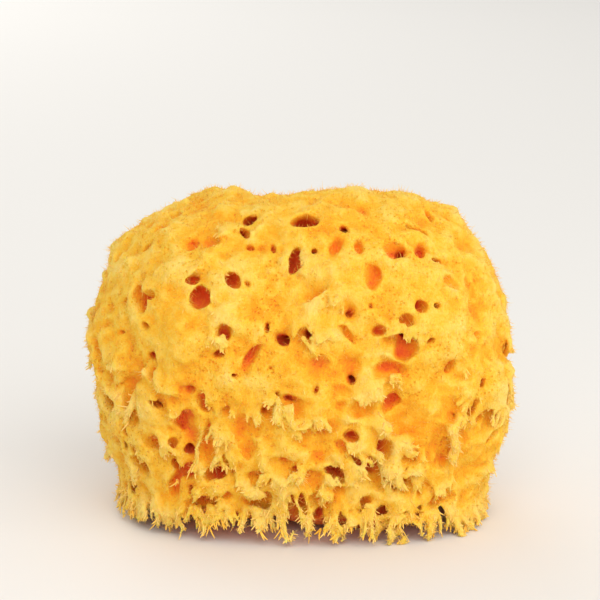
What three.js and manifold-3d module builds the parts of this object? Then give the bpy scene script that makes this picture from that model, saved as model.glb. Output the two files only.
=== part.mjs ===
// A natural bath sponge: one soft skeleton of sponge fibre, cut off flat where it grew on the rock.
// Millimetres, +Z up. The front faces -Y, the cut base lies on z = 0, and the origin is the middle of the base.
import * as THREE from "three";
import { mergeVertices } from "three/addons/utils/BufferGeometryUtils.js";
import Module from "manifold-3d";

const WIDTH = 92;
const DEPTH = 60;
const HEIGHT = 75;

// The body is a rounded block about a middle that lies a little below half its height.
const MIDDLE = new THREE.Vector3(0, 0, 0.48 * HEIGHT);
const RISE = HEIGHT - MIDDLE.z;
const DROP = 1.28 * MIDDLE.z; // the body would reach this far down, had it not been cut from the rock
const SQUARENESS = 2.6; // 2 is an ellipsoid, and more is boxier
const SIDE_ROOM = 2; // left round the block for the swellings and the tufts
const END_ROOM = 1;
const BODY_DETAIL = 9;
const SEARCH_STEPS = 12; // rounds of moving an aim onto the surface
const WELD = 1e-4; // corners closer than this are one corner

// Broad soft swellings: bearing and height of the swelling in degrees, rise in mm, spread in degrees.
const SWELLINGS = [
  { bearing: -62, height: 34, rise: 3.0, spread: 30 },
  { bearing: -124, height: 22, rise: 2.6, spread: 28 },
  { bearing: -18, height: -8, rise: 2.4, spread: 24 },
  { bearing: -92, height: -16, rise: 1.8, spread: 22 },
  { bearing: 176, height: 6, rise: 2.4, spread: 30 },
  { bearing: 118, height: 30, rise: 2.8, spread: 30 },
  { bearing: 58, height: -4, rise: 2.6, spread: 28 },
  { bearing: 22, height: 42, rise: 2.2, spread: 26 },
  { bearing: 96, height: 70, rise: -3.0, spread: 24 },
  { bearing: -150, height: -20, rise: -2.2, spread: 22 },
];

// The large openings on the front: place across and above the base, width and height of the mouth,
// lean of its long side from upright in degrees, and depth.
const FRONT_OPENINGS = [
  { x: 0, z: 69.5, width: 4.4, height: 3.6, lean: 0, depth: 9 },
  { x: -18, z: 66, width: 4.4, height: 4.0, lean: 0, depth: 6 },
  { x: 20, z: 64.5, width: 4.6, height: 4.0, lean: 0, depth: 8 },
  { x: -1, z: 62.5, width: 3.2, height: 5.0, lean: -15, depth: 9 },
  { x: 15, z: 60.5, width: 4.8, height: 6.6, lean: 15, depth: 6 },
  { x: -14, z: 59, width: 3.6, height: 3.6, lean: 0, depth: 8 },
  { x: -21, z: 55.5, width: 4.4, height: 4.4, lean: 0, depth: 9 },
  { x: -16, z: 49, width: 4.0, height: 3.6, lean: 40, depth: 7 },
  { x: 2, z: 49, width: 2.8, height: 4.2, lean: 0, depth: 9 },
  { x: -4, z: 48, width: 4.0, height: 3.8, lean: 0, depth: 12 },
  { x: 22.5, z: 46.5, width: 4.6, height: 6.0, lean: 20, depth: 11 },
  { x: -10.5, z: 43, width: 2.8, height: 6.0, lean: -30, depth: 6 },
  { x: 11, z: 41, width: 3.2, height: 4.8, lean: -10, depth: 10 },
  { x: 20, z: 40.5, width: 5.4, height: 4.0, lean: 20, depth: 7 },
  { x: 19, z: 33.5, width: 3.6, height: 4.6, lean: 0, depth: 9 },
  { x: 11, z: 26.5, width: 4.0, height: 3.2, lean: 0, depth: 8 },
  { x: 17, z: 24, width: 2.8, height: 4.2, lean: 0, depth: 9 },
  { x: -24, z: 22, width: 3.2, height: 3.6, lean: 0, depth: 8 },
  { x: 7, z: 18, width: 4.8, height: 3.6, lean: 0, depth: 10 },
  { x: -17.5, z: 17, width: 4.4, height: 4.0, lean: 0, depth: 9 },
];

// The openings all round the rest of the body lie on one even spiral from its crown to its hem.
const ROUND_OPENINGS = 34;
const ROUND_CROWN = 0.96; // the sines of the highest and lowest opening's height
const ROUND_HEM = -0.5;
const FRONT_WINDOW = 0.62; // the spiral leaves out the front, where the listed openings are
const GOLDEN_TURN = Math.PI * (3 - Math.sqrt(5));
const OPENING_DETAIL = 1;

// Tufts of fibre hang in rows round the lower body: height of the root, height of the tip,
// how far the tip stands out from the body, and how many hang in the row.
const TUFT_ROWS = [
  { root: 36, tip: 26, stand: 1.2, count: 14 },
  { root: 25, tip: 14, stand: 2.0, count: 20 },
  { root: 14, tip: 2.5, stand: 3.0, count: 26 },
];
const HEM_LIFT = { bearing: -130, rise: 5 }; // the hem hangs higher off the ground on this side
const TUFT_ROOT_RADIUS = 3.2;
const TUFT_TIP_RADIUS = 0.8;
const TUFT_SIDES = 5;
const TUFT_DEPTH = 4; // the root starts this far inside the body

const COLOUR = new THREE.Color(0.96, 0.5, 0.08);

const radians = THREE.MathUtils.degToRad;

function bearingDirection(bearing, height) {
  const flat = Math.cos(radians(height));
  return new THREE.Vector3(
    flat * Math.cos(radians(bearing)),
    flat * Math.sin(radians(bearing)),
    Math.sin(radians(height)),
  );
}

// Distance from the middle to the surface of the body along a direction.
function bodyRadius(direction) {
  const tall = direction.z > 0 ? RISE : DROP;
  const share =
    Math.abs(direction.x / (WIDTH / 2 - SIDE_ROOM)) ** SQUARENESS +
    Math.abs(direction.y / (DEPTH / 2 - SIDE_ROOM)) ** SQUARENESS +
    Math.abs(direction.z / (tall - END_ROOM)) ** SQUARENESS;
  let radius = share ** (-1 / SQUARENESS);
  for (const swelling of SWELLINGS) {
    const peak = bearingDirection(swelling.bearing, swelling.height);
    const away = direction.angleTo(peak) / radians(swelling.spread);
    radius += swelling.rise * Math.exp(-away * away);
  }
  return radius;
}

// The point of the body's surface in a direction from its middle.
function surfacePoint(direction) {
  return direction.clone().multiplyScalar(bodyRadius(direction)).add(MIDDLE);
}

// The direction from the middle to the point of the front surface at x across and z up.
function frontDirection(x, z) {
  const aim = new THREE.Vector3(x, -DEPTH / 2, z - MIDDLE.z);
  for (let step = 0; step < SEARCH_STEPS; step++) {
    const found = surfacePoint(aim.clone().normalize());
    aim.y = found.y;
  }
  return aim.normalize();
}

function solidFrom(geometry, wasm) {
  const bare = geometry.clone();
  bare.deleteAttribute("normal");
  bare.deleteAttribute("uv");
  const merged = mergeVertices(bare, WELD);
  return new wasm.Manifold(
    new wasm.Mesh({
      numProp: 3,
      vertProperties: new Float32Array(merged.attributes.position.array),
      triVerts: new Uint32Array(merged.index.array),
    }),
  );
}

function geometryFrom(solid) {
  const mesh = solid.getMesh();
  const geometry = new THREE.BufferGeometry();
  geometry.setAttribute("position", new THREE.BufferAttribute(mesh.vertProperties, 3));
  geometry.setIndex(new THREE.BufferAttribute(mesh.triVerts, 1));
  return geometry;
}

// An even ball of triangles, each corner pushed out to the surface of the body.
function bodyGeometry() {
  const geometry = new THREE.IcosahedronGeometry(1, BODY_DETAIL);
  const corners = geometry.attributes.position;
  const corner = new THREE.Vector3();
  for (let i = 0; i < corners.count; i++) {
    corner.fromBufferAttribute(corners, i).normalize();
    corners.setXYZ(i, ...surfacePoint(corner));
  }
  return geometry;
}

// One opening: an egg-shaped pit whose long axis runs from the mouth towards the body's middle.
function openingGeometry(direction, { width, height, lean, depth }) {
  const geometry = new THREE.IcosahedronGeometry(1, OPENING_DETAIL);
  geometry.scale(width / 2, height / 2, depth);
  geometry.rotateZ(radians(lean));
  const inward = new THREE.Object3D();
  inward.up.set(0, 0, 1);
  inward.position.copy(surfacePoint(direction));
  inward.lookAt(MIDDLE);
  inward.updateMatrix();
  return geometry.applyMatrix4(inward.matrix);
}

// The point of the surface on a bearing, at a height above the base.
function wallPoint(bearing, height) {
  const flat = bearingDirection(bearing, 0);
  const aim = flat.clone();
  for (let step = 0; step < SEARCH_STEPS; step++) {
    const found = surfacePoint(aim.clone().normalize());
    const out = Math.hypot(found.x, found.y);
    aim.set(out * flat.x, out * flat.y, height - MIDDLE.z);
  }
  return surfacePoint(aim.normalize());
}

// One tuft: a blunt cone from inside the body down to its free tip.
function tuftGeometry(bearing, row) {
  const away = bearingDirection(bearing, 0);
  const towards = 0.5 + 0.5 * Math.cos(radians(bearing - HEM_LIFT.bearing));
  const root = wallPoint(bearing, row.root).addScaledVector(away, -TUFT_DEPTH);
  const tip = wallPoint(bearing, row.tip + HEM_LIFT.rise * towards ** 2).addScaledVector(away, row.stand);
  const length = root.distanceTo(tip);
  const geometry = new THREE.CylinderGeometry(TUFT_TIP_RADIUS, TUFT_ROOT_RADIUS, length, TUFT_SIDES);
  geometry.translate(0, length / 2, 0);
  const upright = new THREE.Vector3(0, 1, 0);
  const along = tip.clone().sub(root).normalize();
  geometry.applyQuaternion(new THREE.Quaternion().setFromUnitVectors(upright, along));
  return geometry.translate(root.x, root.y, root.z);
}

// The bearing of tuft k of a row, spaced evenly along the oval of the body and not by angle.
function tuftBearing(k, count) {
  const turn = (2 * Math.PI * (k + 0.3 * Math.sin(5 * k) + 0.13 * count)) / count;
  return THREE.MathUtils.radToDeg(Math.atan2(DEPTH * Math.sin(turn), WIDTH * Math.cos(turn)));
}

// The direction and shape of every opening, the listed ones and those of the spiral.
function allOpenings() {
  const openings = FRONT_OPENINGS.map((opening) => ({
    direction: frontDirection(opening.x, opening.z),
    ...opening,
  }));
  for (let k = 0; k < ROUND_OPENINGS; k++) {
    const sine = THREE.MathUtils.lerp(ROUND_CROWN, ROUND_HEM, k / (ROUND_OPENINGS - 1));
    const flat = Math.sqrt(1 - sine * sine);
    const bearing = k * GOLDEN_TURN;
    const direction = new THREE.Vector3(flat * Math.cos(bearing), flat * Math.sin(bearing), sine);
    if (direction.y < -FRONT_WINDOW) continue;
    openings.push({
      direction,
      width: 3.2 + 1.6 * Math.sin(2.3 * k),
      height: 4.0 + 1.4 * Math.cos(3.7 * k),
      lean: 47 * k,
      depth: 7 + 3 * Math.sin(1.9 * k),
    });
  }
  return openings;
}

async function makeSponge() {
  const wasm = await Module();
  wasm.setup();
  let solid = solidFrom(bodyGeometry(), wasm);
  for (const row of TUFT_ROWS)
    for (let k = 0; k < row.count; k++) {
      const bearing = tuftBearing(k, row.count);
      solid = solid.add(solidFrom(tuftGeometry(bearing, row), wasm));
    }
  for (const opening of allOpenings())
    solid = solid.subtract(solidFrom(openingGeometry(opening.direction, opening), wasm));

  const ground = new THREE.BoxGeometry(2 * WIDTH, 2 * DEPTH, HEIGHT);
  ground.translate(0, 0, -HEIGHT / 2);
  solid = solid.subtract(solidFrom(ground, wasm));

  const geometry = geometryFrom(solid);
  geometry.computeBoundingBox();
  const reach = geometry.boundingBox;
  geometry.translate(-(reach.min.x + reach.max.x) / 2, -(reach.min.y + reach.max.y) / 2, 0);
  const size = reach.getSize(new THREE.Vector3());
  return geometry.scale(WIDTH / size.x, DEPTH / size.y, HEIGHT / size.z);
}

const sponge = new THREE.Mesh(
  await makeSponge(),
  new THREE.MeshStandardMaterial({ color: COLOUR, roughness: 0.95, metalness: 0 }),
);
sponge.name = "sponge";

const part = new THREE.Group();
part.add(sponge);

export default part;
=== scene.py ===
"""A bath sponge from the sea: one grown block of springy yellow fibre, on a pale floor in soft light."""

import math

import bpy
import numpy as np
import openvdb
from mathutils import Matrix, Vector


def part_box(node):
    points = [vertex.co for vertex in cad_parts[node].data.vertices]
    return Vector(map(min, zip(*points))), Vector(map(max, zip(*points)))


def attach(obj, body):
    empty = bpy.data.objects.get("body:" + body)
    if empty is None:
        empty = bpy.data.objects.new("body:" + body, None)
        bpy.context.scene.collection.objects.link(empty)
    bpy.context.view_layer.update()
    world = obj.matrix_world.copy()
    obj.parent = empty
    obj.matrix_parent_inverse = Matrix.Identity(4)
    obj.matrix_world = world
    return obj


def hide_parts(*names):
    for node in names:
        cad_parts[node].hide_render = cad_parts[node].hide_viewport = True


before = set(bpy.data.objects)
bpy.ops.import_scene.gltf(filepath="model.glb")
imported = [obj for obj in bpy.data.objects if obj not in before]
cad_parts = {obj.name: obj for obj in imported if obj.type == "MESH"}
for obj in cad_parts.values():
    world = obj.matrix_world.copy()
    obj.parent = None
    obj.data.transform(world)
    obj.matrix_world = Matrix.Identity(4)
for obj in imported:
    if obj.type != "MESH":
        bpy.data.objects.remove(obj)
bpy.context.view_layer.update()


# ---- Studio: floor, light and camera -------------------------------------------------------------
# A plain pale floor, a broad soft lamp above and in front, a weaker one from the right, one from
# behind, and an even pale sky. The camera stands half a metre in front, a little above, with a long lens.

MM = 0.001
FLOOR_SIZE = 6.0
FLOOR_COLOUR = (0.82, 0.81, 0.79, 1.0)
FLOOR_ROUGHNESS = 0.9
SKY_COLOUR = (1.0, 0.985, 0.96, 1.0)
SKY_STRENGTH = 0.66
CAMERA_PLACE = (0.0033, -0.538, 0.1868)
CAMERA_SIGHT = (-0.0066, 1.0, -0.2563)
CAMERA_LENS = 150.3
CAMERA_NEAREST = 0.01
LAMPS = [
    # name, place, width, watts, colour
    ("key_lamp", (0.15, -0.9, 0.75), 0.9, 7.6, (1.0, 0.97, 0.92)),
    ("side_lamp", (0.8, -0.45, 0.45), 0.6, 2.4, (1.0, 0.98, 0.95)),
    ("back_lamp", (-0.45, 0.85, 0.5), 0.8, 3.0, (1.0, 0.98, 0.95)),
]


def plain_object(name, mesh):
    """An object at the origin that shows a mesh."""
    made = bpy.data.objects.new(name, mesh)
    bpy.context.scene.collection.objects.link(made)
    return made


def aim(placed, direction):
    """Turns a lamp or a camera, which look along their own -Z, to look along a direction."""
    placed.rotation_euler = direction.to_track_quat("-Z", "Y").to_euler()


def studio_floor():
    """A square sheet at height 0."""
    edge = FLOOR_SIZE / 2
    corners = [(-edge, -edge, 0), (edge, -edge, 0), (edge, edge, 0), (-edge, edge, 0)]
    mesh = bpy.data.meshes.new("studio_floor")
    mesh.from_pydata(corners, [], [(0, 1, 2, 3)])
    material = bpy.data.materials.new("floor_paper")
    material.use_nodes = True
    shader = material.node_tree.nodes["Principled BSDF"]
    shader.inputs["Base Color"].default_value = FLOOR_COLOUR
    shader.inputs["Roughness"].default_value = FLOOR_ROUGHNESS
    mesh.materials.append(material)
    floor = plain_object("studio_floor", mesh)


def studio_lamps():
    """Square area lamps, all aimed at the middle of the object."""
    low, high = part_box("sponge")
    middle = (low + high) / 2
    for name, place, width, watts, colour in LAMPS:
        light = bpy.data.lights.new(name, "AREA")
        light.size = width
        light.energy = watts
        light.color = colour
        lamp = bpy.data.objects.new(name, light)
        lamp.location = place
        aim(lamp, middle - lamp.location)
        bpy.context.scene.collection.objects.link(lamp)


def studio_sky():
    """An even pale background that lights from all round."""
    world = bpy.data.worlds.new("studio_sky")
    world.use_nodes = True
    background = world.node_tree.nodes["Background"]
    background.inputs["Color"].default_value = SKY_COLOUR
    background.inputs["Strength"].default_value = SKY_STRENGTH
    bpy.context.scene.world = world


def studio_camera():
    """A long lens that looks slightly down, without roll."""
    lens = bpy.data.cameras.new("camera")
    lens.lens = CAMERA_LENS
    lens.clip_start = CAMERA_NEAREST
    camera = bpy.data.objects.new("camera", lens)
    camera.location = CAMERA_PLACE
    aim(camera, Vector(CAMERA_SIGHT))
    bpy.context.scene.collection.objects.link(camera)
    bpy.context.scene.camera = camera


studio_floor()
studio_lamps()
studio_sky()
studio_camera()
bpy.context.scene.view_settings.view_transform = "Standard"


# ---- Sponge body ---------------------------------------------------------------------------------
# The whole skeleton of the animal, one grown piece of felted fibre: a rounded block, smooth above and
# broken below into lobes with frayed fingers that hang over hollows, and pierced all over by canals. It is
# worked out as a depth below the surface on a grid of points, all in millimetres, and skinned where it is 0.

low_corner, high_corner = (np.array(corner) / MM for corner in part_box("sponge"))
WIDTH, DEPTH, HEIGHT = high_corner - low_corner
MIDDLE_SHARE = 0.48
DROP_SHARE = 1.28
SIDE_LOSS = 2.0
CROWN_LOSS = 1.0
MIDDLE = np.array([0.0, 0.0, MIDDLE_SHARE * HEIGHT])
RISE = HEIGHT - MIDDLE[2] - CROWN_LOSS
DROP = DROP_SHARE * MIDDLE[2] - CROWN_LOSS
SQUARENESS = 2.6
TRACE = 1e-6
NO_LENGTH = 1e-9
VOXEL = 0.38
MARGIN = 6.0
LAYERS_BELOW = 2
SEED = 14
random = np.random.default_rng(SEED)

SWELLINGS = [
    # bearing and height angle in degrees, rise in mm, spread in degrees
    (-62, 34, 3.0, 30),
    (-124, 22, 2.6, 28),
    (-18, -8, 2.4, 24),
    (-92, -16, 1.8, 22),
    (176, 6, 2.4, 30),
    (118, 30, 2.8, 30),
    (58, -4, 2.6, 28),
    (22, 42, 2.2, 26),
    (96, 70, -3.0, 24),
    (-150, -20, -2.2, 22),
]


def unit(vectors):
    """Vectors scaled to a length of 1."""
    return vectors / np.maximum(np.linalg.norm(vectors, axis=-1, keepdims=True), NO_LENGTH)


def bearing_direction(bearing, height):
    """The unit vector at a bearing round Z and an angle above the level, in degrees."""
    turn, climb = math.radians(bearing), math.radians(height)
    return np.array([math.cos(climb) * math.cos(turn), math.cos(climb) * math.sin(turn), math.sin(climb)])


def hull_depth(x, y, z):
    """Distance inside the smooth block along the ray from its middle: the radius of a squarish ellipsoid,
    plus a bell-shaped rise round each swelling's direction, less the point's own distance."""
    x, y, z = x - MIDDLE[0], y - MIDDLE[1], z - MIDDLE[2]
    wide, deep, tall = WIDTH / 2 - SIDE_LOSS, DEPTH / 2 - SIDE_LOSS, np.where(z > 0, RISE, DROP)
    share = np.abs(x / wide) ** SQUARENESS + np.abs(y / deep) ** SQUARENESS + np.abs(z / tall) ** SQUARENESS
    share = np.maximum(share, TRACE) ** (1 / SQUARENESS)
    distance = np.sqrt(x * x + y * y + z * z) + TRACE
    depth = distance / share - distance
    for bearing, height, rise, spread in SWELLINGS:
        peak = bearing_direction(bearing, height)
        cosine = (x * peak[0] + y * peak[1] + z * peak[2]) / distance
        depth = depth + rise * np.exp(2 * (cosine - 1) / math.radians(spread) ** 2)
    return depth


grid_low = low_corner - MARGIN
grid_low[2] = -LAYERS_BELOW * VOXEL
grid_counts = np.ceil((high_corner + MARGIN - grid_low) / VOXEL).astype(int)
xs, ys, zs = (np.float32(grid_low[i] + VOXEL * np.arange(grid_counts[i])) for i in range(3))


def spline_weights(count, spacing):
    """Row s holds the cubic B-spline weights at sample s of lattice points spacing samples apart."""
    place = np.arange(count) / spacing
    near = np.floor(place).astype(int)
    share = place - near
    weights = np.zeros((count, near[-1] + 4), np.float32)
    rows = np.arange(count)
    weights[rows, near] = (1 - share) ** 3 / 6
    weights[rows, near + 1] = (3 * share**3 - 6 * share**2 + 4) / 6
    weights[rows, near + 2] = (-3 * share**3 + 3 * share**2 + 3 * share + 1) / 6
    weights[rows, near + 3] = share**3 / 6
    return weights


def smooth_noise(*spacing):
    """Random numbers on a lattice, so many mm apart along x, y and z, joined by cubic B-splines to a field
    over the grid with a mean of 0 and a spread of 1."""
    along = [spline_weights(count, step / VOXEL) for count, step in zip(grid_counts, spacing)]
    field = random.standard_normal([weights.shape[1] for weights in along]).astype(np.float32)
    field = np.tensordot(along[0], field, (1, 0))
    field = np.tensordot(field, along[1], (1, 1))
    field = np.tensordot(field, along[2], (1, 1))
    return (field - field.mean()) / field.std()


def waves(sizes):
    """Noise fields of several sizes and spacings, added."""
    return sum(size * smooth_noise(*spacing) for size, spacing in sizes)


def smooth_max(a, b, softness):
    """The larger of two fields, rounded where they differ by less than softness."""
    mix = np.clip(0.5 + 0.5 * (a - b) / softness, 0, 1)
    return b + (a - b) * mix + softness * mix * (1 - mix)


def smooth_step(low, high, value):
    """0 below low, 1 above high, and a smooth rise between."""
    share = np.clip((value - low) / (high - low), 0, 1)
    return share * share * (3 - 2 * share)


RAGGED_WAVES = [
    # size in mm, and spacing in mm along x, y and z: how far the edges of openings and lobes stray
    (0.65, (3.4, 3.4, 3.4)),
    (0.26, (1.3, 1.3, 1.3)),
]
SKIN_WAVES = [
    # the same for the rise and fall of the skin
    (0.75, (8.0, 8.0, 8.0)),
    (0.5, (3.2, 3.2, 3.6)),
]
FELT_WAVES = [
    # the same for its felted grain
    (0.26, (1.2, 1.2, 1.2)),
]
RIB_WAVES = [
    # the same for the upright ribs of the lower half
    (0.55, (2.2, 2.2, 8.0)),
]
LOWER_HALF = (24.0, 42.0)
LOWER_RECESS = 0.8
UNDERCUT_HEIGHT = 11.5
UNDERCUT = 4.5
UNDERCUT_RAISED = 6.5
UNDERCUT_POWER = 3
UNDERCUT_CURVE = 1.4
RAISED_BEARING = -115.0


def raised_share(bearing):
    """1 on the bearing in radians where the hem is raised, falling by a cosine to 0 on the opposite one."""
    return 0.5 + 0.5 * np.cos(bearing - math.radians(RAISED_BEARING))


# The block, set back in its lower half to leave room for the lobes, undercut at the hem, and given the rise
# and fall of its skin, its felted grain and its ribs.
grid = hull_depth(xs[:, None, None], ys[None, :, None], zs[None, None, :]).astype(np.float32)
hull = grid.copy()
ragged_pushes = [waves(RAGGED_WAVES) for _ in range(3)]
lower = 1 - smooth_step(*LOWER_HALF, zs)[None, None, :]
grid -= (LOWER_RECESS * lower).astype(np.float32)
undercut = UNDERCUT + UNDERCUT_RAISED * raised_share(np.arctan2(ys[None, :], xs[:, None])) ** UNDERCUT_POWER
undercut = undercut[:, :, None] * np.clip(1 - zs / UNDERCUT_HEIGHT, 0, 1) ** UNDERCUT_CURVE
grid -= undercut.astype(np.float32)
grid += waves(SKIN_WAVES)
grid += waves(FELT_WAVES)
grid += (waves(RIB_WAVES) * lower).astype(np.float32)

# Places on the block. Those at the front are given on an upright pane, as the eye sees them through it.
EYE = np.array(CAMERA_PLACE) / MM
PANE = -28.0
SLOPE_STEP = 0.5
NEARLY_DOWN = np.array([0.0, -1e-4, -1.0])
HALVINGS = 30
EDGE_SOFTNESS = 0.7
WINDOW_ROOM = 2.0


def frame_about(outward):
    """Three unit vectors: across, down as nearly as the outward one lets it, and outwards."""
    down = unit(NEARLY_DOWN - outward * (NEARLY_DOWN @ outward))
    return np.array([np.cross(down, outward), down, outward])


def outward_at(point):
    """The unit vector square to the smooth block at a point: against the steepest rise of its depth."""
    slope = [hull_depth(*(point + step)) - hull_depth(*(point - step)) for step in np.eye(3) * SLOPE_STEP]
    return unit(-np.array(slope, float))


def frame_at(point):
    """Three unit vectors at a point of the smooth block: across, down along the surface, and outwards."""
    return frame_about(outward_at(point))


def turned(axes, lean):
    """The frame with its across and down axes turned about the outward one by lean degrees."""
    across, down, outward = axes
    turn = math.radians(lean)
    return np.array([
        math.cos(turn) * across + math.sin(turn) * down,
        math.cos(turn) * down - math.sin(turn) * across,
        outward,
    ])


def block_point(start, aim, outside, inside):
    """Where a line from start along aim meets the smooth block: its times of the aim outside and inside the
    block are drawn together by halving."""
    for _ in range(HALVINGS):
        middle = (outside + inside) / 2
        if hull_depth(*(start + middle * aim)) > 0:
            inside = middle
        else:
            outside = middle
    return start + inside * aim


def front_point(x, z):
    """The point of the smooth block behind x and z of an upright pane at its front, on the straight line
    from the eye through the pane."""
    toward = np.array([x, PANE, z]) - EYE
    return block_point(EYE, toward, (-DEPTH - EYE[1]) / toward[1], -EYE[1] / toward[1])


def side_point(direction):
    """The point of the smooth block in a direction from its middle."""
    return block_point(MIDDLE, direction, WIDTH, 0.0)


def level_point(bearing, level):
    """The point of the smooth block at a height, on a bearing in radians from its upright axis."""
    aim = np.array([math.cos(bearing), math.sin(bearing), 0.0])
    return block_point(np.array([0.0, 0.0, level]), aim, WIDTH, 0.0)


def window(centre, reach):
    """The slices of the grid that cover a cube of that half width round a centre."""
    first = np.floor((centre - reach - grid_low) / VOXEL).astype(int).clip(0, grid_counts - 1)
    last = np.ceil((centre + reach - grid_low) / VOXEL).astype(int) + 1
    return tuple(slice(a, b) for a, b in zip(first, last.clip(first + 1, grid_counts)))


def apart_from(centre, where, ragged):
    """How far a window's points lie from a centre along x, y and z, after a share of the ragged push."""
    return [
        xs[where[0]][:, None, None] - centre[0] + ragged * ragged_pushes[0][where],
        ys[where[1]][None, :, None] - centre[1] + ragged * ragged_pushes[1][where],
        zs[where[2]][None, None, :] - centre[2] + ragged * ragged_pushes[2][where],
    ]


def local_axes(centre, axes, where, ragged):
    """The same, along each axis of a frame."""
    apart = apart_from(centre, where, ragged)
    return [sum(a * b for a, b in zip(axis, apart)).astype(np.float32) for axis in axes]


def bore(point, axes, width, height, depth, drift=(0.0, 0.0), softness=EDGE_SOFTNESS, ragged=1.0):
    """Cuts a canal: an oval of width and height, which narrows inwards to nothing at depth, and whose middle
    drifts sideways by the square of how far in it is."""
    where = window(point, max(width, height) / 2 + np.linalg.norm(drift) + depth + WINDOW_ROOM)
    across, down, out = local_axes(point, axes, where, ragged)
    inward = np.maximum(-out, 0) / depth
    across = across - drift[0] * inward**2
    down = down - drift[1] * inward**2
    share = np.sqrt((2 * across / width) ** 2 + (2 * down / height) ** 2 + inward**2)
    wall = (share - 1) * min(width, height) / 2
    grid[where] = -smooth_max(-grid[where], -wall, softness)


# Lobes: lengths in mm, the rest as shares.
LOBE_ROOM = 3.0
LOBE_RAGGED = 0.9
LOBE_SUNK = 1.8
LOBE_CURVE = 1.3
LOBE_NARROWING = 0.15
LOBE_THINNING = 0.5
LOBE_ROUNDING = 0.35
LOBE_BEHIND = 1.5
LOBE_JOIN = 2.4
LOBE_TIP_JOIN = 0.6
LOBE_JOIN_SHARES = (0.2, 0.9)


def lobe_height(lift, share):
    """How far out a lobe's middle stands at a share of its length: from sunk to its full lift."""
    return -LOBE_SUNK + (lift + LOBE_SUNK) * share**LOBE_CURVE


def lobe(root, axes, width, length, lift, thickness):
    """Joins a flat lobe that runs from a root point along the down axis: an oval section that starts inside
    the body, and that thins and stands off further along it, with a rounded edge."""
    where = window(root, length + width / 2 + LOBE_ROOM)
    across, down, out = local_axes(root, axes, where, LOBE_RAGGED)
    share = np.clip(down / length, 0, 1)
    half_width = width / 2 * (1 - LOBE_NARROWING * share**2)
    half_thick = thickness / 2 * (1 - LOBE_THINNING * share)
    section = np.sqrt((across / half_width) ** 2 + ((out - lobe_height(lift, share)) / half_thick) ** 2)
    flesh = (1 - section) * half_thick
    flesh = np.minimum(flesh, length * (1 - LOBE_ROUNDING * (across / half_width) ** 2 * share) - down)
    flesh = np.minimum(flesh, down + LOBE_BEHIND).astype(np.float32)
    softness = LOBE_JOIN - (LOBE_JOIN - LOBE_TIP_JOIN) * smooth_step(*LOBE_JOIN_SHARES, share)
    grid[where] = smooth_max(grid[where], flesh, softness.astype(np.float32))


# Fingers and their branches: radii in mm, the rest as shares of the lobe's width or the finger's length.
FINGER_ROOM = 1.5
FINGER_RAGGED = 0.4
FINGER_CURVE = 0.8
FINGER_JOIN = 0.55
FINGER_TAPER = 0.62
FINGER_RADII = (0.42, 0.64)
FINGER_SHARES = (0.2, 0.8)
FINGER_STARTS = (0.72, 0.92)
FINGER_REACHES = (0.35, 1.0)
FINGER_FAN = 0.5
FINGER_STRAY = 0.14
FINGER_RISES = (-0.1, 0.25)
FINGER_BEND = 0.12
FINGER_DROOP = 0.06
FRINGE_SHARE = 0.85
FRINGE_ROUNDING = 0.5
BRANCH_CHANCES = (0.5, 0.38, 0.12)
BRANCH_STARTS = (0.5, 0.8)
BRANCH_SPREADS = (0.15, 0.45)
BRANCH_STRAY = 0.08
BRANCH_BEND = 0.3
BRANCH_LENGTHS = (0.3, 0.5)
BRANCH_RADIUS = 0.75
BRANCH_TIP_RADII = (0.26, 0.36)
TIP_START = 0.7
finger_ends = []


def finger(root, direction, bend, length, wide, narrow):
    """Joins one loose bundle of fibres: a tapered round horn that bends by the square of the way along it.
    A place near its end and its direction there times its length are kept for the fibres that come out."""
    where = window(root + direction * length / 2 + bend / 2, length / 2 + wide + FINGER_ROOM)
    apart = apart_from(root, where, FINGER_RAGGED)
    share = np.clip(sum(d * a for d, a in zip(direction, apart)) / length, 0, 1)
    apart = [a - (d * length * share + b * share**2) for a, d, b in zip(apart, direction, bend)]
    horn = wide + (narrow - wide) * share**FINGER_CURVE - np.sqrt(sum(a * a for a in apart))
    grid[where] = smooth_max(grid[where], horn.astype(np.float32), FINGER_JOIN)
    end = root + direction * length * TIP_START + bend * TIP_START**2
    finger_ends.append((end, direction * length + 2 * TIP_START * bend))


def fringe(root, axes, width, length, lift, fingers, finger_length, stoutness=1.0):
    """The fingers along a lobe's edge: of many lengths, fanned out a little, some of them branched."""
    across, down, outward = axes
    for index in range(fingers):
        place = (index + random.uniform(*FINGER_SHARES)) / fingers - 0.5
        back = random.uniform(*FINGER_STARTS)
        start = root + across * place * width * FRINGE_SHARE
        start = start + down * length * back * (1 - FRINGE_ROUNDING * place**2)
        start = start + outward * lobe_height(lift, back)
        direction = down + across * (place * FINGER_FAN + random.normal(0, FINGER_STRAY))
        direction = unit(direction + outward * random.uniform(*FINGER_RISES))
        reach = length * (1 - back) + finger_length * random.uniform(*FINGER_REACHES)
        bend = random.normal(0, FINGER_BEND, 3) * reach - FINGER_DROOP * reach * outward
        wide = stoutness * random.uniform(*FINGER_RADII)
        finger(start, direction, bend, reach, wide, FINGER_TAPER * wide)
        for side in random.choice([-1, 1], random.choice(3, p=BRANCH_CHANCES), replace=False):
            branch = unit(direction * reach + 2 * TIP_START * bend)
            branch = branch + across * side * random.uniform(*BRANCH_SPREADS)
            branch = unit(branch + random.normal(0, BRANCH_STRAY, 3))
            split = random.uniform(*BRANCH_STARTS)
            middle = start + direction * reach * split + bend * split**2
            branch_length = random.uniform(*BRANCH_LENGTHS) * reach
            tip_radius = random.uniform(*BRANCH_TIP_RADII)
            finger(middle, branch, BRANCH_BEND * bend, branch_length, BRANCH_RADIUS * wide, tip_radius)


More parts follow.
